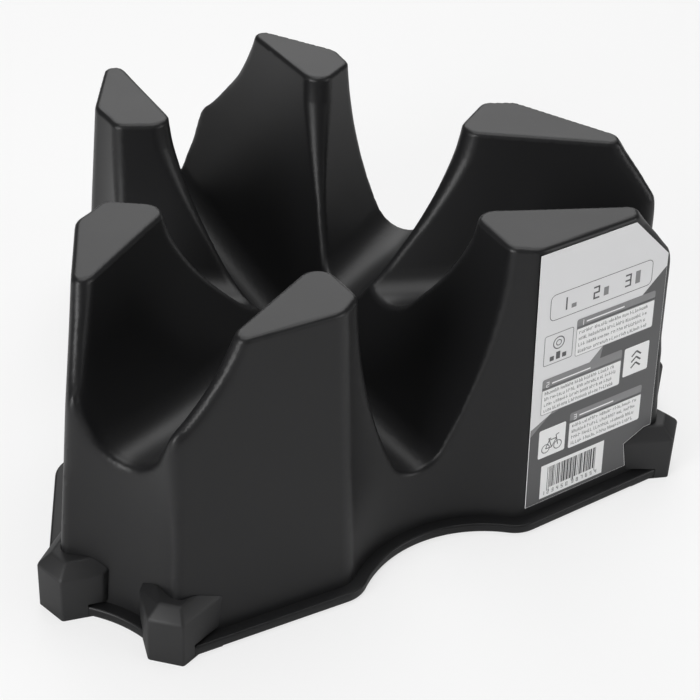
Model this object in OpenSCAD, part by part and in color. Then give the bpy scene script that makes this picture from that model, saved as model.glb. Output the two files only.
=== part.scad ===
// Front wheel riser block for a bicycle on an indoor trainer.
// A hollow moulded block with three lobes. Three tyre cradles cross over the centre at
// three heights, so the block is turned to choose how high the front wheel stands.
// Origin: centre of the block on the ground. +Z is up, the label faces -Y.

/* [Block] */
// Height of the six towers above the ground
block_h = 137; // [128:1:150]
// Distance from the centre to a flat side face, at the ground
side_d = 108.8; // [107:0.1:112]
// Angle between a lobe's axis and the normal of its side faces
side_angle = 57.2; // [56:0.1:58.5]
// Draft angle of all the outer walls
draft = 3.8; // [2:0.1:4.5]
// Wall thickness of the moulding
wall = 3; // [2.2:0.1:3.6]

/* [Recesses] */
// Distance from the centre to the hollow of a waist, at the ground
waist_d = 90.2; // [88:0.1:94]
// Radius of the hollow in a waist
waist_r = 62; // [56:1:68]
// Distance from the centre to the hollow of a lobe's end, at the ground
end_d = 150.6; // [147:0.1:153]
// Radius of the hollow in a lobe's end
end_r = 60; // [54:1:66]
// Rounding where a side face turns into a waist
waist_round = 10; // [7:0.5:12]
// Rounding where a side face turns into a lobe's end
end_round = 5; // [4:0.5:6]

/* [Base lip] */
// Width of the lip that runs round the foot of the walls
lip_w = 5.2; // [4:0.1:6]
// Thickness of the lip
lip_t = 5; // [4:0.1:6]
// Height of the moulding's lower rim above the ground
rim_z = 1; // [0.8:0.1:1.4]

/* [Cradles] */
// Length of the level part of each cradle's floor
level_l = 64; // [50:1:90]
// Angle at which the floors climb outwards beyond their level part
climb = 5; // [3:0.5:8]
// Floor of the low cradle above the ground, at the centre
low_floor = 31.5; // [29:0.5:36]
// Half width of the low cradle at the tower tops
low_half = 37.2; // [34:0.1:39]
// Angle by which each wall of the low cradle closes in towards its ends
low_taper = 1.1; // [0:0.1:3]
// Radius in the bottom of the low cradle
low_round = 12; // [9:0.5:14]
// Lean of the low cradle's flanks at the tower tops
low_lean = 1; // [0:0.5:3]
// Floor of the middle cradle above the ground, at the centre
mid_floor = 62; // [58:0.5:66]
// Half width of the middle cradle at the tower tops
mid_half = 36.5; // [34:0.1:39]
// Angle by which each wall of the middle cradle closes in towards its ends
mid_taper = 1.5; // [0:0.1:4]
// Radius in the bottom of the middle cradle
mid_round = 14; // [11:0.5:16]
// Lean of the middle cradle's flanks at the tower tops
mid_lean = 4; // [2:0.5:6]
// Floor of the high cradle above the ground, at the centre
high_floor = 71.5; // [71:0.5:78]
// Half width of the high cradle at the tower tops
high_half = 36.7; // [34:0.1:39]
// Angle by which each wall of the high cradle closes in towards its ends
high_taper = 4.2; // [1:0.1:6]
// Radius in the bottom of the high cradle
high_round = 17; // [12:0.5:19]
// Lean of the high cradle's flanks at the tower tops
high_lean = 8; // [5:0.5:10]

/* [Ribs] */
// Thickness of the ribs inside the hollow block
rib_t = 2; // [1.5:0.1:2.5]
// Distance between the ribs that cross a lobe
rib_pitch = 28; // [24:0.5:30]
// Number of ribs that cross each lobe
rib_count = 4; // [3:1:4]
// Distance from the centre to the first rib across a lobe
first_rib = 54; // [50:1:56]
// Radius of the tube in the middle of the ribs
hub_r = 30; // [26:1:32]

/* [Grips] */
// Height of the upright faces of a grip's corner caps
cap_h = 21.5; // [18:0.5:24]
// Height and width of the bevel on top of a corner cap
cap_bevel = 4.8; // [3:0.1:6]
// How far a grip's pad reaches inwards from the lobe's end
pad_len = 62; // [50:1:70]
// Thickness of the pad inside the hollow block
pad_t = 5; // [4:0.5:6]
// Spacing of the waffle pockets under a pad
waffle_pitch = 8.6; // [7:0.1:11]
// Width of the webs between the waffle pockets
waffle_web = 2.4; // [1.8:0.1:3]
// Depth of the waffle pockets
waffle_depth = 2; // [1:0.1:3]
// Diameter of the pegs that hold a grip
peg_d = 6; // [5:0.1:7]
// Length of the pegs above the pad
peg_l = 11; // [8:0.5:13]
// Clearance round the rubber grips
grip_gap = 0.15; // [0.1:0.05:0.25]

/* [Label] */
// Place of the label's lower corner along its face, from the foot of the centre's normal
label_x = 40.3; // [38:0.1:50]
// Height of the label's lower edge up the sloping face
label_z = 9.5; // [8:0.5:16]
// Width of the label
label_w = 69.7; // [60:0.1:70]
// Height of the label, along the sloping face
label_h = 125.5; // [110:0.5:126]
// Width of the corner cut off the label
label_cut_w = 19.5; // [14:0.5:22]
// Height of the corner cut off the label
label_cut_h = 20.5; // [16:0.5:24]
// Thickness of the label
label_t = 0.3; // [0.2:0.05:0.5]

/* [Hidden] */

LOBES = [210, 330, 90];
slope = tan(draft);
side_n = [cos(side_angle), sin(side_angle)];
side_m = [-sin(side_angle), cos(side_angle)];
end_c = [end_d + end_r, 0];
waist_at = waist_d + waist_r;
waist_c = waist_at * [cos(60), sin(60)];
end_corner = corner(end_c, end_r, 1);
waist_corner = corner(waist_c, waist_r, -1);
under_t = rim_z - grip_gap;
label_gap = 0.03;
cavity_top = block_h - wall;
rib_z = pad_t + 0.3;
tip_u = end_corner[0] + 2;
boss_wall = 2.6;
boss_top = pad_t + peg_l + 6;
peg_u = first_rib + 2 * rib_pitch + rib_t / 2;
peg_v = 18;
far = 400;

// Where a side face would meet a hollow of radius hr about hc if neither were rounded; pick
// is 1 for the lobe's end and -1 for the waist
function corner(hc, hr, pick) =
    let(a = side_d * side_n - hc, am = a * side_m)
    side_d * side_n + (pick * sqrt(am * am - a * a + hr * hr) - am) * side_m;

// Heading of a vector
function heading(p) = atan2(p[1], p[0]);

// Everything inside one side face, grown outwards by d, for the face whose normal is at a
module behind_side(a, d) {
    rotate([0, 0, a])
        translate([side_d + d, 0, 0])
            rotate([0, -draft, 0])
                translate([-far, -far / 2, -20])
                    cube([far, far, 220]);
}

// A drafted round hollow at distance at from the centre, r at the ground
module hollow(at, r) {
    translate([at, 0, -20])
        cylinder(r1 = r - 20 * slope, r2 = r + 200 * slope, h = 220, $fn = 96);
}

// Cuts the sharp edge between a side face and a hollow back to about a rounding of radius r
module ease(at, hc, r) {
    to_hollow = heading(hc - at);
    half_turn = (side_angle - to_hollow) / 2;
    back = r * (1 / cos(half_turn) - 1);
    translate([at[0], at[1], 0])
        rotate([0, 0, to_hollow + half_turn])
            translate([-back, 0, 0])
                rotate([0, -atan(slope / cos(half_turn)), 0])
                    translate([0, -12, -10])
                        cube([24, 24, 170]);
}

// A solid with the block's plan and drafted walls between heights z0 and z1, grown outwards by d
module drafted(d, z0, z1) {
    difference() {
        intersection() {
            translate([-far / 2, -far / 2, z0])
                cube([far, far, z1 - z0]);
            for_side(0, 1, d);
            for_side(0, -1, d);
            for_side(1, 1, d);
            for_side(1, -1, d);
            for_side(2, 1, d);
            for_side(2, -1, d);
        }
        for (a = LOBES) {
            rotate([0, 0, a]) hollow(end_c[0], end_r - d);
            rotate([0, 0, a + 60]) hollow(waist_at, waist_r - d);
        }
    }
}

// One of the six side faces: lobe i, side s
module for_side(i, s, d) {
    behind_side(LOBES[i] + s * side_angle, d);
}

// The lip round the foot of the walls, grown by d
module lip(d, t) {
    reach = side_d + lip_w + d;
    linear_extrude(t) difference() {
        polygon([for (i = [0:2]) for (k = [0, 1])
            let(a = LOBES[i] + 60 * k, r = reach / cos(k == 0 ? side_angle : 60 - side_angle))
            r * [cos(a), sin(a)]]);
        for (a = LOBES) {
            translate(end_c[0] * [cos(a), sin(a)]) circle(r = end_r - lip_w - d, $fn = 96);
            translate(waist_at * [cos(a + 60), sin(a + 60)]) circle(r = waist_r - lip_w - d, $fn = 96);
            rotate(a) translate([tip_u + d, -side_d]) square([2 * end_r, 2 * side_d]);
        }
    }
}

// Cross-section of a cradle as [height, distance to the side]. The bottom is an arc of radius
// br that runs into two flanks of one larger arc each; grow is the thickness added all round,
// for the underside of the moulded skin.
module cradle_section(floor_z, half, br, lean, grow) {
    top = block_h - floor_z;
    rise = top - br;
    fr = (half * half + rise * rise - br * br) / (2 * (half * cos(lean) - rise * sin(lean) - br));
    fc = [half - fr * cos(lean), top + fr * sin(lean)];
    meet = atan2(fc[1] - br, -fc[0]);
    reach = 14;
    side = concat(
        [for (i = [0:3])
            let(t = 90 - (90 - meet) * i / 3)
            [(br + grow) * cos(t), floor_z + br - (br + grow) * sin(t)]],
        [for (i = [1:5])
            let(t = meet - (meet - lean) * i / 5)
            fc + [0, floor_z] + (fr + grow) * [cos(t), -sin(t)] + (i == 5 ? reach * [tan(lean), 1] : [0, 0])]
    );
    n = len(side);
    polygon(concat(
        [for (p = side) [p[1], p[0]]],
        [for (i = [n - 1:-1:1]) [side[i][1], -side[i][0]]]
    ));
}

// One stretch of a cradle: its section drawn out along the cradle from s0 to s1, turned by
// taper so that one of its walls closes in
module stretch(s0, s1, taper, floor_z, half, br, lean, grow) {
    rotate([0, 0, taper])
        translate([s0, 0, 0])
            rotate([0, -90, 0])
                mirror([0, 0, 1])
                    linear_extrude(s1 - s0)
                        cradle_section(floor_z, half, br, lean, grow);
}

// Cutter for one cradle: a level stretch in the middle and a climbing one to each end
module cradle(angle, taper, floor_z, half, br, lean, grow) {
    rotate([0, 0, angle]) {
        intersection() {
            stretch(-level_l / 2, level_l / 2, taper, floor_z, half, br, lean, grow);
            stretch(-level_l / 2, level_l / 2, -taper, floor_z, half, br, lean, grow);
        }
        for (turn = [0, 180]) rotate([0, 0, turn])
            translate([level_l / 2, 0, floor_z])
                rotate([0, -climb, 0])
                    translate([-level_l / 2, 0, -floor_z])
                        intersection() {
                            stretch(level_l / 2 - 1, 190, taper, floor_z, half, br, lean, grow);
                            stretch(level_l / 2 - 1, 190, -taper, floor_z, half, br, lean, grow);
                        }
    }
}

// The three cradles, or with grow the underside of their skins
module cradles(grow) {
    cradle(90, low_taper, low_floor, low_half, low_round, low_lean, grow);
    cradle(30, mid_taper, mid_floor, mid_half, mid_round, mid_lean, grow);
    cradle(150, high_taper, high_floor, high_half, high_round, high_lean, grow);
}

// Stiffening ribs: across each lobe, along it and on to the waist behind, and a tube in the middle
module ribs() {
    difference() {
        union() {
            for (a = LOBES) rotate([0, 0, a]) {
                for (i = [0:rib_count - 1])
                    translate([min(first_rib + i * rib_pitch, end_d - wall - 11), -side_d, -1])
                        cube([rib_t, 2 * side_d, 2 * block_h]);
                translate([hub_r - rib_t / 2, -rib_t / 2, -1])
                    cube([end_d - hub_r + rib_t / 2, rib_t, 2 * block_h]);
                translate([-waist_d, -rib_t / 2, -1])
                    cube([waist_d - hub_r + rib_t / 2, rib_t, 2 * block_h]);
            }
            difference() {
                translate([0, 0, -1]) cylinder(r = hub_r, h = 2 * block_h, $fn = 72);
                translate([0, 0, -2]) cylinder(r = hub_r - rib_t, h = 2 * block_h + 2, $fn = 72);
            }
            for (a = LOBES) at_pegs(a)
                translate([0, 0, -1])
                    cylinder(d = peg_d + 2 * grip_gap + 2 * boss_wall, h = boss_top + 1, $fn = 48);
        }
        translate([-2 * end_d, -2 * end_d, -block_h])
            cube([4 * end_d, 4 * end_d, block_h + rib_z]);
    }
}

// Places of a grip's two pegs, on the fourth rib of the lobe at angle a
module at_pegs(a) {
    rotate([0, 0, a]) for (s = [-1, 1])
        translate([peg_u, s * peg_v, 0])
            children();
}

// Outer form of the moulding, grown by gap: drafted walls with eased corners, and the lip
module envelope(gap) {
    difference() {
        drafted(gap, rim_z - gap, block_h);
        for (a = LOBES) rotate([0, 0, a]) for (s = [0, 1]) mirror([0, s, 0]) {
            ease(end_corner + gap * [1, 0.3], end_c, end_round);
            ease(waist_corner + gap * side_n, waist_c, waist_round);
        }
    }
    translate([0, 0, rim_z - gap]) lip(gap, lip_t + 2 * gap);
}

// The one-piece moulding: skin, lip, ribs and peg bosses
module moulding() {
    difference() {
        envelope(0);
        cradles(0);
        difference() {
            drafted(-wall, 0, cavity_top);
            cradles(wall);
            ribs();
        }
        for (a = LOBES) at_pegs(a)
            cylinder(d = peg_d + 2 * grip_gap, h = pad_t + peg_l + 1, $fn = 48);
    }
}

// The sixth of the moulding that carries one tower, between the middle planes of the two
// cradles beside it, the first of which heads to angle a
module tower(a) {
    reach = 2 * end_d;
    color([0.13, 0.13, 0.14])
    intersection() {
        moulding();
        linear_extrude(2 * block_h)
            polygon([[0, 0], reach * [cos(a), sin(a)], reach * [cos(a + 60), sin(a + 60)]]);
    }
}

module tower_back_right() {
    tower(30);
}

module tower_back_left() {
    tower(90);
}

module tower_left() {
    tower(150);
}

module tower_front_left() {
    tower(210);
}

module tower_front_right() {
    tower(270);
}

module tower_right() {
    tower(330);
}

// Outline of one corner cap, in the lobe's own axes; s mirrors it
function cap_points(s, inset) =
    let(i = inset)
    [
        [152.8 - 0.7 * i, s * (8.6 + 1.6 * i)],
        [165.3 - 1.25 * i, s * (20.6 + 0.35 * i)],
        [161.4 - 0.95 * i, s * (34.9 - 0.85 * i)],
        [136.9 + 0.5 * i, s * (38.9 - 1.1 * i)],
        [132, s * 30],
        [140, s * 6]
    ];

// One rubber corner cap with its bevelled top, grown by gap
module cap_block(s, gap) {
    hull() {
        linear_extrude(cap_h + gap) polygon(cap_points(s, -gap));
        linear_extrude(cap_h + cap_bevel + gap) polygon(cap_points(s, cap_bevel - gap));
    }
}

// A grip for the lobe at angle a: two corner caps, the sheet under the rim that joins them,
// and the waffle pad inside the block with its pegs
module grip(a) {
    pad_in = end_d - pad_len;
    rotate([0, 0, a]) {
        difference() {
            union() {
                cap_block(1, 0);
                cap_block(-1, 0);
            }
            rotate([0, 0, -a]) envelope(grip_gap);
        }
        difference() {
            union() {
                intersection() {
                    rotate([0, 0, -a]) lip(-0.8, under_t);
                    translate([132, -42, -1]) cube([40, 84, 10]);
                }
                intersection() {
                    rotate([0, 0, -a]) drafted(-wall - grip_gap, 0, pad_t);
                    translate([pad_in, -side_d, -1]) cube([2 * pad_len, 2 * side_d, pad_t + 2]);
                }
                rotate([0, 0, -a]) at_pegs(a)
                    cylinder(d = peg_d, h = pad_t + peg_l, $fn = 48);
            }
            waffle(pad_in);
        }
    }
}

// Pockets under a pad
module waffle(pad_in) {
    pocket = waffle_pitch - waffle_web;
    cols = floor((end_d - wall - 4 - pad_in) / waffle_pitch);
    for (i = [0:cols - 1]) {
        u = pad_in + waffle_web + i * waffle_pitch;
        room = (side_d - wall - 5 - (u + pocket) * side_n[0]) / side_n[1];
        rows = floor(room / waffle_pitch);
        for (j = [-rows:rows - 1])
            translate([u, j * waffle_pitch + waffle_web / 2, -1])
                cube([pocket, pocket, waffle_depth + 1]);
    }
}

module grip_left() {
    color([0.10, 0.10, 0.11]) grip(LOBES[0]);
}

module grip_right() {
    color([0.10, 0.10, 0.11]) grip(LOBES[1]);
}

module grip_back() {
    color([0.10, 0.10, 0.11]) grip(LOBES[2]);
}

// Adhesive label on the front face of the right lobe; its corner is cut off beside the cradle
// and it stops at the corner cap
module label() {
    face_a = LOBES[1] - side_angle;
    color([0.78, 0.78, 0.79])
    difference() {
        rotate([0, 0, face_a + 90])
            translate([0, -side_d - label_gap, 0])
                rotate([90 - draft, 0, 0])
                    translate([label_x, label_z, 0])
                        linear_extrude(label_t)
                            polygon([
                                [0, 0],
                                [label_w, 0],
                                [label_w, label_h - label_cut_h],
                                [label_w - label_cut_w, label_h],
                                [0, label_h]
                            ]);
        rotate([0, 0, LOBES[1]]) cap_block(-1, 0.4);
    }
}

tower_back_right();
tower_back_left();
tower_left();
tower_front_left();
tower_front_right();
tower_right();
grip_left();
grip_right();
grip_back();
label();
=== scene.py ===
"""Front wheel riser block: its looks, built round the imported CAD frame."""

import math

import bmesh
import bpy
import numpy as np
from mathutils import Matrix, Vector


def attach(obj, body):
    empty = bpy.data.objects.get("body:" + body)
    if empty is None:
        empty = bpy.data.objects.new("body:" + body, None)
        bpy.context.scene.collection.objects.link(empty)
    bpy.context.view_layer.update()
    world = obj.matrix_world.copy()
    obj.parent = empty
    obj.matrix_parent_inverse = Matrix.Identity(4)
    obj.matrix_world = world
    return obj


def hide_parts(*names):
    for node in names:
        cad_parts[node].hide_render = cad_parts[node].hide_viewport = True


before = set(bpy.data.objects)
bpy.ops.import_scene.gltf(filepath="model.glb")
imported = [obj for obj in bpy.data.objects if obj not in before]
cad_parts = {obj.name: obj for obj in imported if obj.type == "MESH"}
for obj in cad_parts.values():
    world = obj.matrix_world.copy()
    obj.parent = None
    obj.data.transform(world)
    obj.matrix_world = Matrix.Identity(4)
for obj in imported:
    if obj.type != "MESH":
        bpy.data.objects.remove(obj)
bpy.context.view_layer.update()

# Sizes of the block in millimetres, angles in radians. Distances are from the centre, at the
# ground.
BLOCK_H = 137.0
SIDE_D = 108.8
SIDE_A = math.radians(57.2)
DRAFT = math.radians(3.8)
SLOPE = math.tan(DRAFT)
WALL = 3.0
WAIST_D, WAIST_R = 90.2, 62.0
END_D, END_R = 150.6, 60.0
END_ROUND, WAIST_ROUND = 3.6, 10.0
LOBES = [210, 330, 90]
WAISTS = [30, 150, 270]
TOWERS = [
    "tower_left", "tower_front_left", "tower_front_right",
    "tower_right", "tower_back_right", "tower_back_left",
]
SIDE_N = np.array([math.cos(SIDE_A), math.sin(SIDE_A)])
END_C = np.array([END_D + END_R, 0.0])
WAIST_C = (WAIST_D + WAIST_R) * np.array([0.5, math.sqrt(0.75)])

# The lobe ends lean in less and less from this height up, over this many millimetres
UPRIGHT_FROM, UPRIGHT_EASE = 50.0, 12.0
# The towers' outer tips are cut by the plane: distance along the lobe + TIP_SLOPE * z = TIP_SUM
TIP_SLOPE, TIP_SUM, TIP_ROUND = 0.82, 243.0, 4.0
# Radius of the towers' top edges
TOP_ROUND = 1.9
# Radius of the ridges between two cradles, and what is added to it between two heights
RIDGE_ROUND, RIDGE_MORE, RIDGE_Z = 3.0, 5.0, (85, 125)
# Radius of the cradles' edges on the walls, and what is added to it between two heights, with
# more beside the waists, which lie nearer the centre. EDGE_CUT is the most these edges wear back.
EDGE_ROUND, EDGE_MORE, EDGE_Z = 2.3, 1.7, (72, 112)
EDGE_WAIST, NEAR_CENTRE = 1.6, (140, 112)
EDGE_CUT = 13.0
# Corners at the lobes' ends are eased from this distance along the lobe, between these heights
EASE_ALONG, EASE_FROM, EASE_TO = (122, 130), (62, 70), (135, 131)
EASE_PASSES, QUICK_PASSES = 4, 1

# Lip and rim round the foot. The lip's top runs on LIP_TUCK into the wall.
LIP_W, LIP_T, LIP_ROUND, LIP_TUCK, RIM_Z = 5.2, 5.0, 1.0, 0.8, 0.6
# Faces of the two skins that lie wholly above these heights are kept
SKIN_FROM, INSIDE_FROM = RIM_Z + 0.2, RIM_Z - 1.0
# Ribs under the hollow, the tube at its centre and the bosses for the caps' pegs
RIB_T, RIB_PITCH, RIB_N, FIRST_RIB, RIB_Z = 2.0, 28.0, 4, 54.0, 5.3
RIB_OVERLAP, RIB_STEP = 1.2, 1.0
LAST_RIB = END_D - WALL - 11
HUB_R = 30.0
PEG_R, PEG_GAP, PEG_V = 3.0, 0.15, 18.0
BOSS_WALL, BOSS_TOP = 2.6, 22.0

# Rubber caps: radius of their softened edges, the least angle and length of an edge that is
# softened, how far clear of the wall it lies, its least height, and the angle from which an
# edge stays sharp
SOFT_R, SOFT_ANGLE, SOFT_LENGTH, SOFT_CLEAR = 0.9, math.radians(14), 1.5, 0.6
SOFT_FROM = LIP_T + 0.5
SHARP_ANGLE = math.radians(24)

# Each cradle: heading of its axis, lowest height of its floor and where along the axis that is,
# half width at the top, bottom radius, lean of the flanks at the top, taper of each wall, radius
# of the long arc that the floor follows
CRADLES = {
    "low": dict(axis=90, floor=31.5, mid=-20, half=37.3, bottom=13.0, lean=0.5, taper=0.022, wheel=720),
    "middle": dict(axis=30, floor=58.0, mid=20, half=36.6, bottom=16.0, lean=3.0, taper=0.026, wheel=720),
    "high": dict(axis=150, floor=68.0, mid=20, half=36.8, bottom=15.5, lean=6.5, taper=0.070, wheel=720),
}
# A cradle's taper is rounded off within about this distance of the centre
TAPER_EASE = 20.0

GRID_LOW, GRID_HIGH = (-160.5, -114.0, -4.0), (160.5, 168.0, 140.0)
PITCH, QUICK_PITCH = 1.5, 3.0


def cos_sin(degrees):
    return math.cos(math.radians(degrees)), math.sin(math.radians(degrees))


def along_across(x, y, degrees):
    """Distances along and across the line through the centre with this heading."""
    c, s = cos_sin(degrees)
    return x * c + y * s, -x * s + y * c


def turned(points, degrees):
    """Plan points turned about the centre."""
    c, s = cos_sin(degrees)
    return np.stack([points[:, 0] * c - points[:, 1] * s, points[:, 0] * s + points[:, 1] * c], 1)


def ramp(value, start, end):
    """0 at start and before it, 1 at end and past it. End may be the smaller one."""
    return np.clip((value - start) / (end - start), 0, 1)


# Form of the moulding, as signed distances
def blend_max(a, ga, b, gb, r, cut=None):
    """The inside of both a and b, with their shared edge rounded to radius r. ga and gb are
    the directions in which a and b grow. cut is the most that the edge may be worn back."""
    # Directions that are all but parallel are taken as a little less so, to keep the sums finite
    c = np.clip(sum(x * y for x, y in zip(ga, gb)), -0.985, 0.985)
    if cut is not None:
        r = np.minimum(r, cut / (np.sqrt(2.0 / (1 + c)) - 1 + 1e-4))
    p, q = a + r, b + r
    inside = (p - c * q > 0) & (q - c * p > 0)
    far = np.sqrt(np.maximum(p * p + q * q - 2 * c * p * q, 0) / (1 - c * c)) - r
    return np.where(inside, far, np.maximum(a, b)).astype(np.float32)


def grad(f, h):
    """Unit direction in which the grid f grows."""
    g = np.gradient(f, h)
    n = np.sqrt(g[0] ** 2 + g[1] ** 2 + g[2] ** 2) + 1e-6
    return [x / n for x in g]


def wall_field(x, y, z):
    """Signed distance to the outer walls, with rounded upright corners."""
    u, v = None, None
    for heading in LOBES:
        along, across = along_across(x, y, heading)
        across = np.abs(across)
        if u is None:
            u, v = along, across
        else:
            further = along > u
            u, v = np.where(further, along, u), np.where(further, across, v)
    lean = z * SLOPE
    side = u * SIDE_N[0] + v * SIDE_N[1] - (SIDE_D - lean)
    end_u, end_v = END_C[0] - u, END_C[1] - v
    end_r = np.hypot(end_u, end_v) + 1e-6
    above = np.maximum(z - UPRIGHT_FROM, 0)
    end = END_R + lean - SLOPE * above * above / (above + UPRIGHT_EASE) - end_r
    waist_u, waist_v = WAIST_C[0] - u, WAIST_C[1] - v
    waist_r = np.hypot(waist_u, waist_v) + 1e-6
    waist = WAIST_R + lean - waist_r
    ones = np.ones_like(side)
    g_side = [SIDE_N[0] * ones, SIDE_N[1] * ones]
    g_end = [end_u / end_r, end_v / end_r]
    g_waist = [waist_u / waist_r, waist_v / waist_r]
    f = blend_max(side, g_side, end, g_end, END_ROUND)
    g = [np.where(side > end, a, b) for a, b in zip(g_side, g_end)]
    return blend_max(f, g, waist, g_waist, WAIST_ROUND) * math.cos(DRAFT)


def cradle_field(x, y, z, axis, floor, mid, half, bottom, lean, taper, wheel):
    """Signed distance to one cradle, positive inside its hollow. Its section is an arc at the
    bottom that runs into two flanks of one larger arc each. s and t run along and across the
    axis, h is the height over the floor."""
    s, t = along_across(x, y, axis)
    t = np.abs(t)
    h = wheel - np.sqrt((floor + wheel - z) ** 2 + (s - mid) ** 2)
    top = BLOCK_H - floor
    rise = top - bottom
    w = half - taper * np.sqrt(s * s + TAPER_EASE ** 2)
    c, sn = cos_sin(lean)
    flank_r = (w * w + rise * rise - bottom ** 2) / (2 * (w * c - rise * sn - bottom))
    flank_c, flank_h = w - flank_r * c, top + flank_r * sn
    dx, dy = flank_c, flank_h - bottom
    n = np.hypot(dx, dy)
    dx, dy = -dx / n, -dy / n
    low = (h - bottom) * dx - t * dy < 0
    at_bottom = np.hypot(t, h - bottom) - bottom
    return -np.where(low, at_bottom, np.hypot(t - flank_c, h - flank_h) - flank_r)


def moulding(pitch):
    """Samples of the moulding's outer form on a grid, positive outside: (axes, values)."""
    ax = [np.arange(a, b + pitch, pitch, dtype=np.float32) for a, b in zip(GRID_LOW, GRID_HIGH)]
    x, y, z = np.meshgrid(*ax, indexing="ij", sparse=False)
    wall = wall_field(x, y, z).astype(np.float32)
    ridge_r = RIDGE_ROUND + RIDGE_MORE * ramp(z, *RIDGE_Z)
    hollow = None
    for sizes in CRADLES.values():
        cradle = cradle_field(x, y, z, **sizes).astype(np.float32)
        g_cradle = grad(cradle, pitch)
        if hollow is None:
            hollow, g_hollow = cradle, g_cradle
        else:
            hollow = blend_max(hollow, g_hollow, cradle, g_cradle, ridge_r)
            g_hollow = grad(hollow, pitch)

    near = ramp(np.hypot(x, y), *NEAR_CENTRE)
    edge_r = EDGE_ROUND + (EDGE_MORE + EDGE_WAIST * near) * ramp(z, *EDGE_Z)
    f = blend_max(wall, grad(wall, pitch), hollow, g_hollow, edge_r, EDGE_CUT)

    # The towers' outer tips slope off, and their tops are level
    u = along_across(x, y, LOBES[0])[0]
    for heading in LOBES[1:]:
        u = np.maximum(u, along_across(x, y, heading)[0])
    tip = ((u + TIP_SLOPE * z - TIP_SUM) / math.hypot(1, TIP_SLOPE)).astype(np.float32)
    f = blend_max(f, grad(f, pitch), tip, grad(tip, pitch), TIP_ROUND)
    upwards = [np.zeros_like(f), np.zeros_like(f), np.ones_like(f)]
    f = blend_max(f, grad(f, pitch), z - BLOCK_H, upwards, TOP_ROUND)

    # The three-way corners at the lobes' ends are eased together
    soft = ramp(u, *EASE_ALONG) * ramp(z, *EASE_FROM) * ramp(z, *EASE_TO)
    eased = f
    for _ in range(EASE_PASSES if pitch == PITCH else QUICK_PASSES):
        for axis in range(3):
            eased = (np.roll(eased, 1, axis) + 2 * eased + np.roll(eased, -1, axis)) / 4
    return ax, (f + soft * (eased - f)).astype(np.float32)


# Meshes from a sampled form
def sample(f, p):
    """Trilinear value and gradient of the grid f at the fractional indices p."""
    i = np.clip(np.floor(p).astype(int), 0, np.array(f.shape) - 2)
    t = p - i
    c = {}
    for a in (0, 1):
        for b in (0, 1):
            for d in (0, 1):
                c[a, b, d] = f[i[:, 0] + a, i[:, 1] + b, i[:, 2] + d].astype(float)
    x, y, z = t.T
    wx, wy, wz = (1 - x, x), (1 - y, y), (1 - z, z)
    v = sum(c[a, b, d] * wx[a] * wy[b] * wz[d] for a, b, d in c)
    gx = sum((c[1, b, d] - c[0, b, d]) * wy[b] * wz[d] for b in (0, 1) for d in (0, 1))
    gy = sum((c[a, 1, d] - c[a, 0, d]) * wx[a] * wz[d] for a in (0, 1) for d in (0, 1))
    gz = sum((c[a, b, 1] - c[a, b, 0]) * wx[a] * wy[b] for a in (0, 1) for b in (0, 1))
    return v, np.stack([gx, gy, gz], 1)


def cell_points(f, cells):
    """One point for each cell that the surface f = 0 crosses, moved onto the surface."""
    corners = [(i, j, k) for i in (0, 1) for j in (0, 1) for k in (0, 1)]
    total = np.zeros((len(cells), 3))
    hits = np.zeros(len(cells))
    for a, (i, j, k) in enumerate(corners):
        for l, m, n in corners[a + 1:]:
            if abs(i - l) + abs(j - m) + abs(k - n) != 1:
                continue
            fa = f[cells[:, 0] + i, cells[:, 1] + j, cells[:, 2] + k]
            fb = f[cells[:, 0] + l, cells[:, 1] + m, cells[:, 2] + n]
            cross = (fa < 0) != (fb < 0)
            t = np.where(cross, fa / np.where(cross, fa - fb, 1), 0)
            p = np.stack([i + t * (l - i), j + t * (m - j), k + t * (n - k)], 1)
            total += p * cross[:, None]
            hits += cross
    points = cells + total / hits[:, None]
    # Four short steps down or up the slope of f, which never leave the cell by much
    for _ in range(4):
        v, g = sample(f, points)
        step = -v[:, None] * g / (np.sum(g * g, 1)[:, None] + 1e-9)
        points = points + np.clip(step, -0.4, 0.4)
        points = np.clip(points, cells - 0.1, cells + 1.1)
    return points


def surface(ax, f, level=0.0):
    """Surface-net mesh of f = level: (vertices, quads)."""
    f = f - level
    nx, ny, nz = f.shape
    inside = f < 0
    count = np.zeros((nx - 1, ny - 1, nz - 1), np.int8)
    for i in (0, 1):
        for j in (0, 1):
            for k in (0, 1):
                count += inside[i:nx - 1 + i, j:ny - 1 + j, k:nz - 1 + k]
    cells = np.argwhere((count > 0) & (count < 8))
    ids = np.full(count.shape, -1, np.int32)
    ids[tuple(cells.T)] = np.arange(len(cells))
    quads = []
    for axis in range(3):
        others = [a for a in range(3) if a != axis]
        before, after = [slice(1, -1)] * 3, [slice(1, -1)] * 3
        before[axis], after[axis] = slice(0, -1), slice(1, None)
        fa, fb = inside[tuple(before)], inside[tuple(after)]
        edges = np.argwhere(fa != fb)
        flip = fa[tuple(edges.T)]
        ring = []
        for da, db in ((0, 0), (1, 0), (1, 1), (0, 1)):
            cell = edges.copy()
            cell[:, others[0]] += da
            cell[:, others[1]] += db
            ring.append(ids[tuple(cell.T)])
        q = np.stack(ring, 1)
        if axis == 1:
            flip = ~flip
        quads.append(np.where(flip[:, None], q, q[:, ::-1]))
    origin = np.array([a[0] for a in ax])
    pitch = float(ax[0][1] - ax[0][0])
    return origin + cell_points(f, cells) * pitch, np.concatenate(quads)


def used_only(verts, quads):
    """The same faces with the unused vertices dropped."""
    used = np.unique(quads)
    remap = np.full(len(verts), -1)
    remap[used] = np.arange(len(used))
    return verts[used], remap[quads]


# Plan outline of the foot
def heading_of(p):
    return math.atan2(p[1], p[0])


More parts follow.
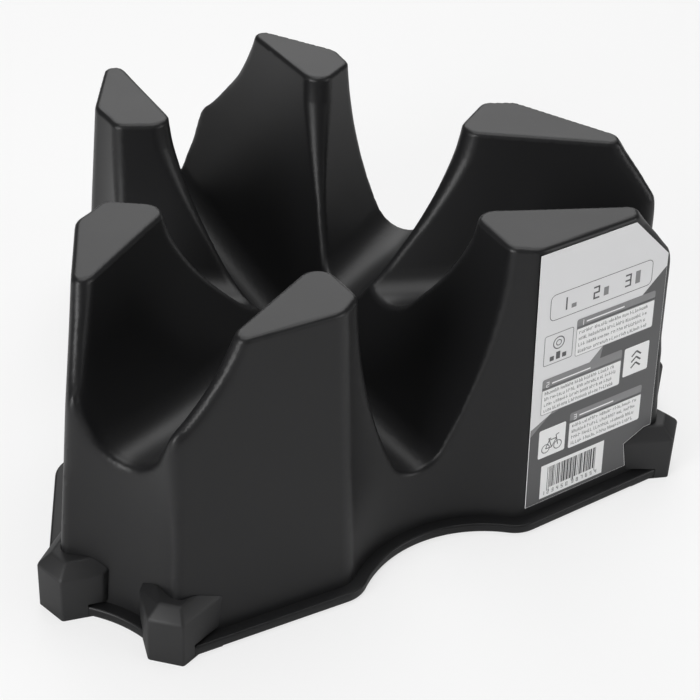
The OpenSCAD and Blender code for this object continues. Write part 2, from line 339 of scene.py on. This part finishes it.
def round_centre(d, hollow_c, hollow_r, r, pick):
    """Centre of the rounding between the side face at distance d and a hollow."""
    m = np.array([-SIDE_N[1], SIDE_N[0]])
    a = (d - r) * SIDE_N - hollow_c
    am = a @ m
    return (d - r) * SIDE_N + (pick * math.sqrt(am * am - a @ a + (hollow_r + r) ** 2) - am) * m


def arc(c, r, a, b, n):
    """n points on an arc about c from angle a, which is left out, to angle b."""
    angles = a + (b - a) * np.arange(1, n + 1) / n
    return [c + r * np.array([math.cos(k), math.sin(k)]) for k in angles]


def outline(d, end_round, waist_round):
    """The block's plan at the ground, grown outwards by d, as points that match for any d."""
    side_d, end_r, waist_r = SIDE_D + d, END_R - d, WAIST_R - d
    end_c = round_centre(side_d, END_C, end_r, end_round, 1)
    waist_c = round_centre(side_d, WAIST_C, waist_r, waist_round, -1)
    to_end, to_waist = (heading_of(p) % (2 * math.pi) for p in (end_c - END_C, waist_c - WAIST_C))
    half = [np.array([END_C[0] - end_r, 0.0])]
    half += arc(END_C, end_r, math.pi, to_end, 8)
    half += arc(end_c, end_round, heading_of(END_C - end_c), SIDE_A, 10)
    half += [side_d * SIDE_N + (waist_c - (side_d - waist_round) * SIDE_N)]
    half += arc(waist_c, waist_round, SIDE_A, heading_of(WAIST_C - waist_c), 8)
    half += arc(WAIST_C, waist_r, to_waist, math.radians(240), 16)
    half = np.array(half)
    mirrored = half[1:-1][::-1] * [1, -1]
    lobe = np.concatenate([mirrored, half])
    return np.concatenate([turned(lobe, heading) for heading in LOBES])


# Helpers for Blender
def colour(hex_code):
    """sRGB hex to the linear colour that shader sockets take."""
    c = [int(hex_code[i:i + 2], 16) / 255 for i in (0, 2, 4)]
    return [v / 12.92 if v <= 0.04045 else ((v + 0.055) / 1.055) ** 2.4 for v in c] + [1]


def node(tree, kind, settings=None, **links):
    """Adds a node with its settings. Each link or value goes to the socket of that name, with
    _ for a space, or to the socket of that number after an i."""
    n = tree.nodes.new(kind)
    for name, value in (settings or {}).items():
        setattr(n, name, value)
    for name, value in links.items():
        numbered = name[0] == "i" and name[1:].isdigit()
        socket = n.inputs[int(name[1:])] if numbered else n.inputs[name.replace("_", " ")]
        if isinstance(value, bpy.types.NodeSocket):
            tree.links.new(value, socket)
        else:
            socket.default_value = value
    return n


def emptied(owner):
    """The node tree of a material or world, with no nodes in it."""
    owner.use_nodes = True
    owner.node_tree.nodes.clear()
    return owner.node_tree


def material(name, base, rough, rough_var, specular=0.5, grain=0.0, grain_mm=0.8):
    """A moulded or printed finish: one base colour, a slightly uneven gloss and a fine grain."""
    m = bpy.data.materials.new(name)
    t = emptied(m)
    place = node(t, "ShaderNodeTexCoord").outputs["Object"]
    # Gloss that changes softly over a centimetre or two
    broad = node(t, "ShaderNodeTexNoise", Vector=place, Scale=60.0, Detail=2.0)
    gloss = node(t, "ShaderNodeMapRange", Value=broad.outputs["Fac"], To_Min=rough - rough_var,
                 To_Max=rough + rough_var)
    finish = node(t, "ShaderNodeBsdfPrincipled", Base_Color=colour(base), Roughness=gloss.outputs[0],
                  Specular_IOR_Level=specular)
    # Grain of the mould's surface, a tenth of a millimetre deep at most
    if grain:
        fine = node(t, "ShaderNodeTexNoise", Vector=place, Scale=1000.0 / grain_mm, Detail=3.0,
                    Roughness=0.6)
        bump = node(t, "ShaderNodeBump", Strength=grain, Distance=0.0001, Height=fine.outputs["Fac"])
        t.links.new(bump.outputs[0], finish.inputs["Normal"])
    node(t, "ShaderNodeOutputMaterial", Surface=finish.outputs[0])
    return m


def add_object(name, data):
    ob = bpy.data.objects.new(name, data)
    bpy.context.scene.collection.objects.link(ob)
    return ob


def shade_smooth(me):
    me.polygons.foreach_set("use_smooth", np.ones(len(me.polygons), bool))


def make_mesh(name, verts_mm, faces, mats, face_mats=None, smooth=True):
    """A mesh object from millimetre points."""
    me = bpy.data.meshes.new(name)
    verts = [tuple(v) for v in np.asarray(verts_mm, float) / 1000.0]
    me.from_pydata(verts, [], [tuple(int(i) for i in face) for face in faces])
    for m in mats:
        me.materials.append(m)
    if face_mats is not None:
        me.polygons.foreach_set("material_index", np.asarray(face_mats, np.int32))
    if smooth:
        shade_smooth(me)
    me.update()
    return add_object(name, me)


def apply_modifiers(ob):
    """Makes the modifiers' result the object's own mesh."""
    dg = bpy.context.evaluated_depsgraph_get()
    me = bpy.data.meshes.new_from_object(ob.evaluated_get(dg))
    old = ob.data
    ob.modifiers.clear()
    ob.data = me
    me.name = ob.name
    bpy.data.meshes.remove(old)


# Materials
# Moulded polypropylene, satin black: a very fine grain and broad soft highlights on its fillets
PLASTIC = material("shell_black", "171718", 0.41, 0.02, specular=0.32, grain=0.12, grain_mm=0.7)
# Moulded rubber of the corner caps: as dark as the plastic but duller, with a coarser grain
RUBBER = material("grip_rubber", "19191a", 0.55, 0.04, grain=0.25, grain_mm=0.5)
# Satin film stock: the label's light ground, all but white
FILM = material("label_film", "e4e4e5", 0.34, 0.02)
# Flat dark grey print: the label's lower ground, its frames and its small strokes
DARK = material("print_dark", "545455", 0.36, 0.02)
# Flat middle grey print: the panels' heads and the two slopes on the dark ground
MID = material("print_mid", "858586", 0.36, 0.02)
# Flat white print: the panels and the numbers on their heads
PALE = material("print_pale", "f2f2f2", 0.34, 0.02)
# Flat near-black print: the bar pattern and the figures under it
INK = material("print_ink", "3e3e40", 0.38, 0.02)


def build_skin(ax, f, pitch):
    """The moulding's outer skin, with its normals taken from the sampled form."""
    verts, quads = surface(ax, f)
    quads = quads[verts[:, 2][quads].min(1) > SKIN_FROM]
    verts, quads = used_only(verts, quads)
    skin = make_mesh("shell_skin", verts, quads, [PLASTIC])
    thin = skin.modifiers.new("thin", "DECIMATE")
    thin.ratio = 0.5
    apply_modifiers(skin)
    verts = np.zeros(len(skin.data.vertices) * 3, np.float32)
    skin.data.vertices.foreach_get("co", verts)
    verts = verts.reshape(-1, 3) * 1000.0
    origin = np.array([a[0] for a in ax])
    _, g = sample(f, (verts - origin) / pitch)
    g /= np.linalg.norm(g, axis=1)[:, None] + 1e-9
    shade_smooth(skin.data)
    skin.data.normals_split_custom_set_from_vertices([tuple(n) for n in g])
    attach(skin, "root")
    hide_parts(*TOWERS)


def build_hollow(ax, f):
    """The inner skin, one wall behind the outer one, on a coarser grid."""
    step = 2
    verts, quads = surface([a[::step] for a in ax], f[::step, ::step, ::step], -WALL)
    quads = quads[verts[:, 2][quads].min(1) > INSIDE_FROM][:, ::-1]
    verts[:, 2] = np.maximum(verts[:, 2], RIM_Z)
    inner = make_mesh("shell_inside", *used_only(verts, quads), [PLASTIC])
    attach(inner, "root")
    return inner


def rib_tree():
    """Node tree for ribs that stand on lines in a plan and rise until they meet the skin."""
    tree = bpy.data.node_groups.new("ribs", "GeometryNodeTree")
    for name, kind in (("Geometry", "Geometry"), ("Skin", "Object"), ("Overlap", "Float")):
        tree.interface.new_socket(name, in_out="INPUT", socket_type="NodeSocket" + kind)
    tree.interface.new_socket("Geometry", in_out="OUTPUT", socket_type="NodeSocketGeometry")
    given = node(tree, "NodeGroupInput").outputs
    skin = node(tree, "GeometryNodeObjectInfo", Object=given["Skin"]).outputs["Geometry"]
    ray = node(tree, "GeometryNodeRaycast", Target_Geometry=skin, Ray_Direction=(0, 0, 1),
               Ray_Length=0.2).outputs
    lines = node(tree, "GeometryNodeSeparateGeometry", {"domain": "POINT"}, Geometry=given["Geometry"],
                 Selection=ray["Is Hit"])
    rib = node(tree, "GeometryNodeExtrudeMesh", {"mode": "EDGES"}, Mesh=lines.outputs["Selection"],
               Offset=(0, 0, 1), Offset_Scale=0.0001).outputs
    lift = node(tree, "ShaderNodeCombineXYZ", Z=given["Overlap"])
    meet = node(tree, "ShaderNodeVectorMath", i0=ray["Hit Position"], i1=lift.outputs[0])
    movable = node(tree, "FunctionNodeBooleanMath", {"operation": "AND"}, i0=rib["Top"], i1=ray["Is Hit"])
    raised = node(tree, "GeometryNodeSetPosition", Geometry=rib["Mesh"], Selection=movable.outputs[0],
                  Position=meet.outputs[0])
    real = node(tree, "GeometryNodeRealizeInstances", Geometry=raised.outputs[0])
    done = node(tree, "GeometryNodeSetMaterial", Geometry=real.outputs[0], Material=PLASTIC)
    node(tree, "NodeGroupOutput", Geometry=done.outputs[0])
    return tree


def rib_paths():
    """Plan lines of the ribs: along and across each lobe, to each waist, and the hub's ring."""
    paths = []
    for heading in LOBES:
        along = np.arange(HUB_R, END_D - RIB_STEP, RIB_STEP)
        paths.append(turned(np.column_stack([along, 0 * along]), heading))
        for i in range(RIB_N):
            u = min(FIRST_RIB + i * RIB_PITCH, LAST_RIB) + RIB_T / 2
            half = (SIDE_D - WALL / 2 - u * SIDE_N[0]) / SIDE_N[1]
            across = np.linspace(-half, half, 150)
            paths.append(turned(np.column_stack([np.full(150, u), across]), heading))
    for heading in WAISTS:
        along = np.arange(HUB_R, WAIST_D - RIB_STEP, RIB_STEP)
        paths.append(turned(np.column_stack([along, 0 * along]), heading))
    circle = np.linspace(0, 2 * math.pi, 61)
    paths.append(np.column_stack([np.cos(circle), np.sin(circle)]) * (HUB_R - RIB_T / 2))
    return paths


def build_ribs(inner):
    """Upright plates along the ribs' plan lines, from RIB_Z up into the inner skin."""
    verts, edges = [], []
    for path in rib_paths():
        base = len(verts)
        verts += [(x / 1000, y / 1000, RIB_Z / 1000) for x, y in path]
        edges += [(base + k, base + k + 1) for k in range(len(path) - 1)]
    me = bpy.data.meshes.new("shell_ribs")
    me.from_pydata(verts, edges, [])
    ribs = add_object("shell_ribs", me)
    tree = rib_tree()
    rise = ribs.modifiers.new("rise", "NODES")
    rise.node_group = tree
    values = {"Skin": inner, "Overlap": RIB_OVERLAP / 1000}
    for socket in tree.interface.items_tree:
        if socket.in_out == "INPUT" and socket.name in values:
            rise[socket.identifier] = values[socket.name]
    plate = ribs.modifiers.new("plate", "SOLIDIFY")
    plate.thickness = RIB_T / 1000
    plate.offset = 0.0
    apply_modifiers(ribs)
    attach(ribs, "root")


def build_bosses():
    """Two upright tubes in each lobe that take the pegs of its caps."""
    sides = 40
    r_in = PEG_R + PEG_GAP
    r_out = r_in + BOSS_WALL
    circle = 2 * math.pi * np.arange(sides) / sides
    ring = np.column_stack([np.cos(circle), np.sin(circle)])
    verts, faces = [], []
    for heading in LOBES:
        for side in (-1, 1):
            centre = np.array([[FIRST_RIB + 2 * RIB_PITCH + RIB_T / 2, side * PEG_V]])
            base = len(verts) * sides
            for r, z in ((r_out, BOSS_TOP), (r_out, RIB_Z), (r_in, RIB_Z), (r_in, BOSS_TOP)):
                verts.append(np.column_stack([turned(centre, heading) + r * ring, np.full(sides, z)]))
            for low in range(base, base + 3 * sides, sides):
                for i in range(sides):
                    j = (i + 1) % sides
                    faces.append((low + j, low + i, low + sides + i, low + sides + j))
    bosses = make_mesh("shell_bosses", np.concatenate(verts), faces, [PLASTIC], smooth=False)
    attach(bosses, "root")


def build_lip():
    """The lip round the foot, with softened edges, and the flat rim under it."""
    profile = [(-WALL, RIM_Z)]
    for start, z in ((-90, RIM_Z + LIP_ROUND), (0, LIP_T - LIP_ROUND)):
        for k in range(5):
            c, s = cos_sin(start + 90 * k / 4)
            profile.append((LIP_W - LIP_ROUND + LIP_ROUND * c, z + LIP_ROUND * s))
    profile.append((-LIP_TUCK, LIP_T))
    rings = []
    for d, z in profile:
        plan = outline(d, max(END_ROUND + d, 1.0), WAIST_ROUND + d)
        rings.append(np.column_stack([plan, np.full(len(plan), z)]))
    m = len(rings[0])
    faces = []
    for low in range(0, (len(rings) - 1) * m, m):
        for j in range(m):
            k = (j + 1) % m
            faces.append((low + j, low + k, low + m + k, low + m + j))
    lip = make_mesh("shell_lip", np.concatenate(rings), faces, [PLASTIC])
    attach(lip, "root")


def soft_edges(bm):
    """The edges of a grip's two caps that a mould would round: those clear of the wall."""
    edges = []
    for e in bm.edges:
        if len(e.link_faces) != 2 or e.calc_face_angle(0.0) < SOFT_ANGLE:
            continue
        if e.calc_length() < SOFT_LENGTH / 1000:
            continue
        mid = (e.verts[0].co + e.verts[1].co) / 2 * 1000.0
        clear = wall_field(*(np.array([c]) for c in mid))[0] > SOFT_CLEAR
        if clear and mid.z > SOFT_FROM:
            edges.append(e)
    return edges


def build_grip(name):
    """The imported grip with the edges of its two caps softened, as moulded rubber has them."""
    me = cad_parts[name].data.copy()
    me.name = name + "_soft"
    me.materials.clear()
    me.materials.append(RUBBER)
    bm = bmesh.new()
    bm.from_mesh(me)
    bmesh.ops.remove_doubles(bm, verts=bm.verts, dist=1e-6)
    bmesh.ops.dissolve_limit(bm, angle_limit=math.radians(0.6), verts=bm.verts, edges=bm.edges)
    bmesh.ops.bevel(bm, geom=soft_edges(bm), offset=SOFT_R / 1000, offset_type="OFFSET",
                    segments=4, profile=0.5, affect="EDGES", clamp_overlap=True)
    bm.to_mesh(me)
    bm.free()
    shade_smooth(me)
    grip = add_object(name + "_soft", me)
    me.set_sharp_from_angle(angle=SHARP_ANGLE)
    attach(grip, "root")
    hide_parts(name)


def box_loop(x0, h0, x1, h1, r=0.0, n=4):
    """Corner points of a box with rounded corners, anticlockwise."""
    if r <= 0:
        return [(x0, h0), (x1, h0), (x1, h1), (x0, h1)]
    out = []
    corners = ((x1 - r, h0 + r, -90), (x1 - r, h1 - r, 0), (x0 + r, h1 - r, 90), (x0 + r, h0 + r, 180))
    for cx, cy, start in corners:
        for k in range(n + 1):
            c, s = cos_sin(start + 90 * k / n)
            out.append((cx + r * c, cy + r * s))
    return out


class Print:
    """Flat printed shapes on the label's face, in the face's own millimetres: x to the right and
    h up the slope. Layers lie layer_t apart on the film, which is label_t thick."""

    label_gap, label_t, layer_t = 0.03, 0.3, 0.015

    def __init__(self):
        self.verts, self.faces, self.mats = [], [], []
        a = math.radians(330) - SIDE_A + math.pi / 2
        self.ca, self.sa = math.cos(a), math.sin(a)

    def shape(self, loop, mat, layer):
        """One flat face with these corners."""
        base = len(self.verts)
        t = self.label_t + self.layer_t * layer
        for x, h in loop:
            y = -(SIDE_D + self.label_gap) + h * math.sin(DRAFT) - t * math.cos(DRAFT)
            z = h * math.cos(DRAFT) + t * math.sin(DRAFT)
            self.verts.append((x * self.ca - y * self.sa, x * self.sa + y * self.ca, z))
        self.faces.append(list(range(base, base + len(loop))))
        self.mats.append(mat)

    def box(self, x0, h0, x1, h1, mat, layer, r=0.0):
        self.shape(box_loop(x0, h0, x1, h1, r), mat, layer)

    def border(self, x0, h0, x1, h1, mat, layer, r, w):
        """An outline of width w inside a box with corners of radius r."""
        outer = box_loop(x0, h0, x1, h1, r)
        inner = box_loop(x0 + w, h0 + w, x1 - w, h1 - w, max(r - w, 0.1))
        n = len(outer)
        for k in range(n):
            j = (k + 1) % n
            self.shape([outer[k], outer[j], inner[j], inner[k]], mat, layer)

    def line(self, a, b, w, mat, layer):
        d = np.array(b, float) - np.array(a, float)
        n = np.array([-d[1], d[0]]) / (np.hypot(*d) + 1e-9) * w / 2
        ends = ((a, -n), (b, -n), (b, n), (a, n))
        self.shape([tuple(np.array(q) + o) for q, o in ends], mat, layer)

    def ring(self, x, h, r, w, mat, layer, n=20):
        for k in range(n):
            a, b = 2 * math.pi * k / n, 2 * math.pi * (k + 1) / n
            corners = ((r, a), (r, b), (r - w, b), (r - w, a))
            self.shape([(x + q * math.cos(t), h + q * math.sin(t)) for q, t in corners], mat, layer)

    def marks(self, x0, x1, h, size, mat, layer, rng, w):
        """A row of small strokes that looks like a line of small print from afar."""
        x = x0
        left = rng.integers(2, 8)
        while x + 0.6 * size < x1:
            wide = size * rng.uniform(0.32, 0.62)
            tall = size * (1.0 if rng.random() > 0.4 else 0.7)
            self.box(x, h, x + w, h + tall, mat, layer)
            if rng.random() > 0.35:
                self.box(x + wide - w, h, x + wide, h + 0.7 * size, mat, layer)
            bar = h + rng.choice([0.0, 0.3, 0.6]) * size
            self.box(x, bar, x + wide, bar + w, mat, layer)
            x += wide + 0.2 * size
            left -= 1
            if left == 0:
                x += 0.35 * size
                left = rng.integers(2, 9)

    def digit(self, x, h, size, value, mat, layer):
        """A plain seven-bar figure."""
        w, g = size * 0.55, size * 0.13
        mid = size / 2
        bars = {
            "a": (0, size - g, w, size), "b": (w - g, mid, w, size), "c": (w - g, 0, w, mid),
            "d": (0, 0, w, g), "e": (0, 0, g, mid), "f": (0, mid, g, size),
            "g": (0, mid - g / 2, w, mid + g / 2),
        }
        lit = "abcdef bc abged abgcd fgbc afgcd afgedc abc abcdefg abcdfg".split()[value]
        for k in lit:
            x0, h0, x1, h1 = bars[k]
            self.box(x + x0, h + h0, x + x1, h + h1, mat, layer)


# Indices of the label's greys in its mesh
PRINT_MATS = [DARK, MID, PALE, INK]
P_DARK, P_MID, P_PALE, P_INK = range(4)


def print_ground(p):
    """The dark lower part of the label with its stepped upper edge, and two lighter slopes."""
    foot = [(40.45, 9.65), (96.5, 9.65), (94.7, 22.1), (96.3, 22.75), (106.1, 26.95), (109.85, 26.95)]
    top = [(109.85, 108.4), (98, 98.5), (77.5, 80), (70, 73.5), (50.5, 55), (40.45, 46.7)]
    p.shape(foot + top, P_DARK, 1)
    p.shape([(40.45, 50.2), (40.45, 46.7), (50.5, 55)], P_MID, 2)
    p.shape([(50.5, 55), (70, 73.5), (77.5, 80), (76.2, 73.7), (57.5, 56.5), (52.5, 55)], P_MID, 2)


def print_heights(p):
    """Outlined panel at the top: the numbers of the three heights, each beside a taller bar."""
    p.border(46.7, 102, 101.8, 114.5, P_DARK, 2, 2.6, 0.3)
    for k in range(3):
        x = 52.4 + 17.2 * k
        p.digit(x, 105.2, 6.0, k + 1, P_DARK, 2)
        p.box(x + 5.6, 105.2, x + 8.2, 107.2 + 2.0 * k, P_MID, 2)


def print_rings(p):
    """Outlined pictogram: a ring over three bars."""
    p.border(44.8, 80.7, 60.3, 95.5, P_MID, 2, 1.0, 0.35)
    p.ring(52.6, 90.4, 3.1, 0.5, P_DARK, 2)
    p.ring(52.6, 90.4, 1.5, 0.4, P_DARK, 2)
    for x, top in ((48.2, 84.6), (51.5, 86.0), (54.8, 84.6)):
        p.box(x, 82.4, x + 2.2, top, P_DARK, 2)


def print_panels(p, rng):
    """Three pale panels, each with a numbered grey head and four rows of strokes."""
    rows = 4
    panels = [
        (61.8, 79.8, 104.8, 98.0, 93.2),
        (45.2, 56.0, 88.7, 74.0, 68.4),
        (62.0, 32.7, 102.3, 51.0, 45.8),
    ]
    for number, (x0, h0, x1, h1, head) in enumerate(panels, 1):
        p.box(x0, h0, x1, head + 0.6, P_PALE, 3, 1.0)
        p.box(x0, head, x1, h1, P_MID, 4, 1.0)
        p.box(x0, head, x1, head + 1.2, P_MID, 4)
        p.digit(x0 + 2.2, head + 1.2, 2.7, number, P_PALE, 5)
        p.box(x0 + 5.2, head + 2.2, x0 + 0.6 * (x1 - x0), head + 2.9, P_PALE, 5)
        step = (head - h0) / (rows + 0.3)
        for k in range(rows):
            x_end = x1 - 1.4 - rng.uniform(0, 3)
            p.marks(x0 + 1.6, x_end, head - (k + 0.85) * step, 1.75, P_DARK, 4, rng, 0.22)
    for x0, h0, x1, _, head in panels[:2]:
        p.border(x0, h0, x1, head + 0.6, P_MID, 5, 1.0, 0.25)


def print_chevrons(p):
    """Three upward chevrons."""
    p.box(90.2, 58.8, 104.2, 73.3, P_PALE, 3, 0.8)
    for k in range(3):
        h = 62.2 + 2.9 * k
        p.line((94.6, h), (97.2, h + 2.2), 0.8, P_DARK, 4)
        p.line((99.8, h), (97.2, h + 2.2), 0.8, P_DARK, 4)


def print_bicycle(p):
    """Pictogram of two wheels and a frame, each stroke from one named joint to another."""
    p.box(45.4, 33.3, 60.0, 48.0, P_PALE, 3, 0.8)
    joints = {
        "back": (49.4, 37.6), "front": (56.0, 37.6), "crank": (52.7, 37.4), "seat": (51.2, 41.4),
        "head": (55.2, 41.4), "stem": (54.8, 43.0), "bar": (56.4, 43.4), "saddle": (51.3, 42.2),
        "nose": (52.2, 42.2), "tail": (50.6, 42.2),
    }
    for wheel in ("back", "front"):
        p.ring(*joints[wheel], 2.3, 0.4, P_DARK, 4)
    strokes = ("back seat", "seat head", "crank head", "crank seat", "back crank", "front stem",
               "stem bar", "tail nose", "seat saddle")
    for a, b in (stroke.split() for stroke in strokes):
        p.line(joints[a], joints[b], 0.45, P_DARK, 4)


def print_bars(p, rng):
    """Bar pattern with a row of figures under it, in no code."""
    p.box(47.8, 11.3, 83.0, 28.8, P_PALE, 3)
    x = 51.5
    while x < 79.0:
        w = rng.choice([0.3, 0.3, 0.6, 0.9])
        short = 52.5 < x < 78.0 and not 64.8 < x < 66.2
        p.box(x, 15.9 if short else 14.4, min(x + w, 79.5), 27.0, P_INK, 4)
        x += w + rng.choice([0.3, 0.3, 0.6])
    for k, value in enumerate((1, 2, 3, 4, 5, 0, 9, 8, 7, 6, 5, 4)):
        p.digit(49.3 + 2.6 * k + (0.8 if k > 5 else 0.0), 12.6, 2.0, value, P_INK, 4)


def build_label():
    """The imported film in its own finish, and generic content printed on it."""
    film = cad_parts["label"].data
    film.materials.clear()
    film.materials.append(FILM)
    p = Print()
    rng = np.random.default_rng(7)
    print_ground(p)
    print_heights(p)
    print_rings(p)
    print_panels(p, rng)
    print_chevrons(p)
    print_bicycle(p)
    print_bars(p, rng)
    ob = make_mesh("label_print", p.verts, p.faces, PRINT_MATS, face_mats=p.mats, smooth=False)
    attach(ob, "root")


def white_to_camera(tree, kind, lit, share):
    """A mix of what is lit with plain white, which only the camera sees."""
    white = node(tree, kind, Color=(1, 1, 1, 1), Strength=1.0)
    seen = node(tree, "ShaderNodeLightPath").outputs["Is Camera Ray"]
    part = node(tree, "ShaderNodeMath", {"operation": "MULTIPLY"}, i0=seen, i1=share)
    return node(tree, "ShaderNodeMixShader", i0=part.outputs[0], i1=lit.outputs[0], i2=white.outputs[0])


def build_stage():
    """A plain pale floor that keeps a faint shadow, and a white world."""
    half, z = 6.0, -0.0002
    corners = [(-half, -half, z), (half, -half, z), (half, half, z), (-half, half, z)]
    me = bpy.data.meshes.new("floor")
    me.from_pydata(corners, [], [(0, 1, 2, 3)])
    floor = add_object("floor", me)
    # Pale floor: almost white to the camera, with the block's shadow faint on it
    m = bpy.data.materials.new("floor")
    t = emptied(m)
    lit = node(t, "ShaderNodeBsdfDiffuse", Color=colour("e6e6e6"))
    mix = white_to_camera(t, "ShaderNodeEmission", lit, share=0.7)
    node(t, "ShaderNodeOutputMaterial", Surface=mix.outputs[0])
    me.materials.append(m)

    world = bpy.data.worlds.new("studio")
    bpy.context.scene.world = world
    t = emptied(world)
    dim = node(t, "ShaderNodeBackground", Color=colour("ffffff"), Strength=0.12)
    mix = white_to_camera(t, "ShaderNodeBackground", dim, share=1.0)
    node(t, "ShaderNodeOutputWorld", Surface=mix.outputs[0])


def area_light(name, at, look, size, power):
    d = bpy.data.lights.new(name, "AREA")
    d.shape = "RECTANGLE"
    d.size, d.size_y = size
    d.energy = power
    ob = add_object(name, d)
    ob.location = at
    ob.rotation_mode = "QUATERNION"
    ob.rotation_quaternion = (Vector(look) - Vector(at)).to_track_quat("-Z", "Y")


def build_lights():
    """Soft studio light: most of it from behind and above, as the pale tops show."""
    area_light("top_soft", (0.1, 0.1, 1.3), (0, 0, 0.05), (0.9, 0.9), 8.5)
    area_light("back_soft", (1.05, 1.55, 1.45), (0, 0, 0.1), (2.0, 1.4), 23.0)
    area_light("left_soft", (-1.3, -0.45, 0.6), (0, 0, 0.07), (0.7, 0.9), 16.0)
    area_light("front_soft", (1.0, -1.2, 0.5), (0, 0, 0.07), (0.8, 0.6), 6.2)


def build_camera():
    """The photograph's camera, as it was worked out from the block's three-fold symmetry. Its
    distances were found for a block 1 / 0.83 times as large."""
    azimuth, elevation, roll = (math.radians(a) for a in (-33.0646, 35.9538, 2.9130))
    focal_px, frame_px, sensor_mm = 1932.501, 700.0, 36.0
    shrink = 0.83
    distance, shift_right, shift_down, look_h = 1026.792, 20.688, 25.241, 82.5
    back = Vector((math.sin(azimuth) * math.cos(elevation), -math.cos(azimuth) * math.cos(elevation),
                   math.sin(elevation)))
    right = (-back).cross(Vector((0, 0, 1))).normalized()
    up = right.cross(-back)
    cam = bpy.data.cameras.new("camera")
    cam.sensor_width = sensor_mm
    cam.lens = focal_px * sensor_mm / frame_px
    cam.clip_start, cam.clip_end = 0.05, 20.0
    ob = add_object("camera", cam)
    place = Vector((0, 0, look_h)) + back * distance + right * shift_right - up * shift_down
    x_axis = math.cos(roll) * right + math.sin(roll) * up
    y_axis = -math.sin(roll) * right + math.cos(roll) * up
    turn = Matrix((x_axis, y_axis, back)).transposed()
    ob.matrix_world = Matrix.Translation(place * (shrink / 1000.0)) @ turn.to_4x4()
    bpy.context.scene.camera = ob


grid_pitch = PITCH
grid_axes, form = moulding(grid_pitch)
build_skin(grid_axes, form, grid_pitch)
build_ribs(build_hollow(grid_axes, form))
build_bosses()
build_lip()
for grip_name in ("grip_left", "grip_right", "grip_back"):
    build_grip(grip_name)
build_label()
build_stage()
build_lights()
build_camera()
bpy.context.scene.view_settings.view_transform = "Standard"
